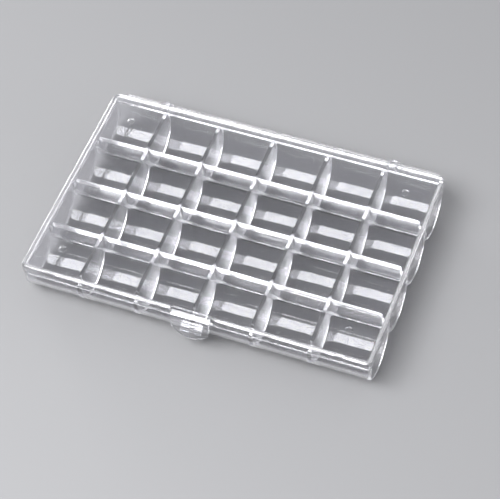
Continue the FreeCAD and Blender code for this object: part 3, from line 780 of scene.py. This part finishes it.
tray.data.materials.clear()
tray.data.materials.append(clear_plastic("tray_clear_plastic", flow_size=26.0, haze=0.05))
lid.data.materials.clear()
lid.data.materials.append(clear_plastic("lid_clear_plastic", flow_size=34.0, haze=0.04))
print("finishes", [material.name for material in bpy.data.materials])

# %% [markdown]
# The column dividers come from deep narrow slots in the mould, which can't be polished as the troughs can.
# Their faces keep fine marks that run round each trough's axis, and they are a little less clear than the
# rest, which spreads the light that is caught inside them into soft streaks. They get a finish of their
# own, on the upright faces only. The rounded edges stay clear, and shine.

# %% Material: divider faces
DIVIDER_ROUGHNESS = 0.13
ROUGHNESS_SWING = 0.3
MARKS_PER_METRE = 1600.0
MARK_LENGTH_SCALE = 60.0
MARK_DETAIL = 3.0
MARK_LOW = 0.3
MARK_HIGH = 0.7
MARK_STRENGTH = 0.03
UPRIGHT_COSINE = 0.99
FACE_REACH = 0.3


def vector_math(nodes, operation, second, third=(0, 0, 0)):
    """A vector operation on the first input, with fixed second and third vectors."""
    node = nodes.new("ShaderNodeVectorMath")
    node.operation = operation
    node.inputs[1].default_value = second
    node.inputs[2].default_value = third
    return node


def divider_plastic(name):
    """Clear plastic with marks: noise that runs fast out from a trough's axis and slowly every other way."""
    material = clear_plastic(name, flow_size=40.0)
    nodes = material.node_tree.nodes
    links = material.node_tree.links
    half_pitch = PITCH_Y * MILLIMETRE / 2
    axis = (0, TRAY_MIDDLE_Y * MILLIMETRE + half_pitch, AXIS_Z * MILLIMETRE)
    place = nodes["Texture Coordinate"].outputs["Object"]
    centred = vector_math(nodes, "SUBTRACT", axis)
    one_trough = vector_math(nodes, "WRAP", (1, half_pitch, 1), (-1, -half_pitch, -1))
    flat = vector_math(nodes, "MULTIPLY", (0, 1, 1))
    radius = nodes.new("ShaderNodeVectorMath")
    radius.operation = "LENGTH"
    rings = nodes.new("ShaderNodeMath")
    rings.operation = "MULTIPLY"
    rings.inputs[1].default_value = MARKS_PER_METRE / MARK_LENGTH_SCALE
    marks = noise(nodes, MARK_DETAIL, MARK_LENGTH_SCALE)
    marks.noise_dimensions = "4D"
    rough = nodes.new("ShaderNodeMapRange")
    rough.inputs["From Min"].default_value = MARK_LOW
    rough.inputs["From Max"].default_value = MARK_HIGH
    rough.inputs["To Min"].default_value = DIVIDER_ROUGHNESS * (1 - ROUGHNESS_SWING)
    rough.inputs["To Max"].default_value = DIVIDER_ROUGHNESS * (1 + ROUGHNESS_SWING)
    links.new(place, centred.inputs[0])
    links.new(centred.outputs["Vector"], one_trough.inputs[0])
    links.new(one_trough.outputs["Vector"], flat.inputs[0])
    links.new(flat.outputs["Vector"], radius.inputs[0])
    links.new(radius.outputs["Value"], rings.inputs[0])
    links.new(place, marks.inputs["Vector"])
    links.new(rings.outputs["Value"], marks.inputs["W"])
    links.new(marks.outputs["Fac"], rough.inputs["Value"])
    links.new(rough.outputs["Result"], nodes["Principled BSDF"].inputs["Roughness"])
    links.new(marks.outputs["Fac"], nodes["Bump"].inputs["Height"])
    nodes["Bump"].inputs["Strength"].default_value = MARK_STRENGTH
    return material


def divider_faces(mesh):
    """True for faces on the column dividers' sides, by where each face lies and which way it points."""
    count = len(mesh.polygons)
    centre = np.empty(3 * count, np.float32)
    normal = np.empty(3 * count, np.float32)
    mesh.polygons.foreach_get("center", centre)
    mesh.polygons.foreach_get("normal", normal)
    x, y = (centre.reshape(-1, 3) / MILLIMETRE - (0, TRAY_MIDDLE_Y, 0))[:, :2].T
    facing_x = np.abs(normal.reshape(-1, 3)[:, 0]) > UPRIGHT_COSINE
    within = (np.abs(x) < INNER_HALF_X - DIVIDER / 2) & (np.abs(y) < INNER_HALF_Y - DIVIDER / 2)
    at_divider = np.abs(from_nearest(x, CELL_CENTRES_X)) > CELL_LENGTH / 2 - FACE_REACH
    return within & facing_x & at_divider


tray.data.materials.append(divider_plastic("tray_divider_faces"))
marked = divider_faces(tray.data)
tray.data.polygons.foreach_set("material_index", marked.astype(np.int32))
tray.data.update()
print("divider faces", int(marked.sum()), "of", len(marked))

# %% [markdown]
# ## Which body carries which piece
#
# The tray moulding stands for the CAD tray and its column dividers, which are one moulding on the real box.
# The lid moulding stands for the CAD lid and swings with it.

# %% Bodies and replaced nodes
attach(tray, "tray")
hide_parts("tray", "column_dividers")
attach(lid, "lid")
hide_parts("lid")
print("tray and lid ride on their bodies")

# %% [markdown]
# ## Floor and light
#
# Clear plastic shows only what it reflects and bends, so the light is the look. A wide softbox overhead,
# towards the front left, lies as a white bar in every trough and feeds the dividers. A small one, low at
# the back left, draws the white line along the lid's left edge, and one low at the right lights the rims.
# Both stand low so that the flat lid doesn't mirror them to someone who looks down on the box. A pale floor
# and a dim even sky fill the rest. Light caught between two faces takes dozens of turns before it leaves,
# so the number of bounces is raised until the dividers stop going dark.

# %% Floor
FLOOR_HALF = 3.0
FLOOR_DEPTH = 0.0002
FLOOR_COLOUR = (0.31, 0.31, 0.32, 1.0)
FLOOR_ROUGHNESS = 0.6
floor_mesh = bpy.data.meshes.new("floor")
floor_square = np.array([(-1, -1, 0), (1, -1, 0), (1, 1, 0), (-1, 1, 0)])
floor_corners = FLOOR_HALF * floor_square - (0, 0, FLOOR_DEPTH)
floor_mesh.from_pydata(floor_corners, [], [(0, 1, 2, 3)])
floor = bpy.data.objects.new("floor", floor_mesh)
bpy.context.scene.collection.objects.link(floor)
floor_material = bpy.data.materials.new("pale_floor")
floor_material.use_nodes = True
floor_shader = floor_material.node_tree.nodes["Principled BSDF"]
floor_shader.inputs["Base Color"].default_value = FLOOR_COLOUR
floor_shader.inputs["Roughness"].default_value = FLOOR_ROUGHNESS
floor.data.materials.append(floor_material)
print("floor", 2 * FLOOR_HALF, "m square")

# %% Lights
LIGHT_BOUNCES = 64
SKY_COLOUR = (0.97, 0.98, 1.0, 1.0)
SKY_STRENGTH = 0.6


def softbox(name, place, width, depth, power):
    """A rectangular light that looks at the box."""
    light = bpy.data.lights.new(name, "AREA")
    light.shape = "RECTANGLE"
    light.size = width
    light.size_y = depth
    light.energy = power
    lamp = bpy.data.objects.new(name, light)
    place = Vector(place)
    look = (-place).to_track_quat("-Z", "Y").to_matrix().to_4x4()
    lamp.matrix_world = Matrix.Translation(place) @ look
    bpy.context.scene.collection.objects.link(lamp)


softbox("overhead_softbox", (-0.30, -0.45, 0.85), width=0.8, depth=0.57, power=13.0)
softbox("low_left_softbox", (-0.944, 0.637, 0.16), width=0.4, depth=0.26, power=4.0)
softbox("low_right_softbox", (1.12, 0.0, 0.16), width=0.5, depth=0.26, power=5.0)
world = bpy.data.worlds.new("studio")
world.use_nodes = True
sky = world.node_tree.nodes["Background"]
sky.inputs["Color"].default_value = SKY_COLOUR
sky.inputs["Strength"].default_value = SKY_STRENGTH
bpy.context.scene.world = world
bpy.context.scene.view_settings.view_transform = "Standard"
bpy.context.scene.cycles.max_bounces = LIGHT_BOUNCES
bpy.context.scene.cycles.glossy_bounces = LIGHT_BOUNCES
bpy.context.scene.cycles.transmission_bounces = LIGHT_BOUNCES
print("lights", [light.name for light in bpy.data.lights])
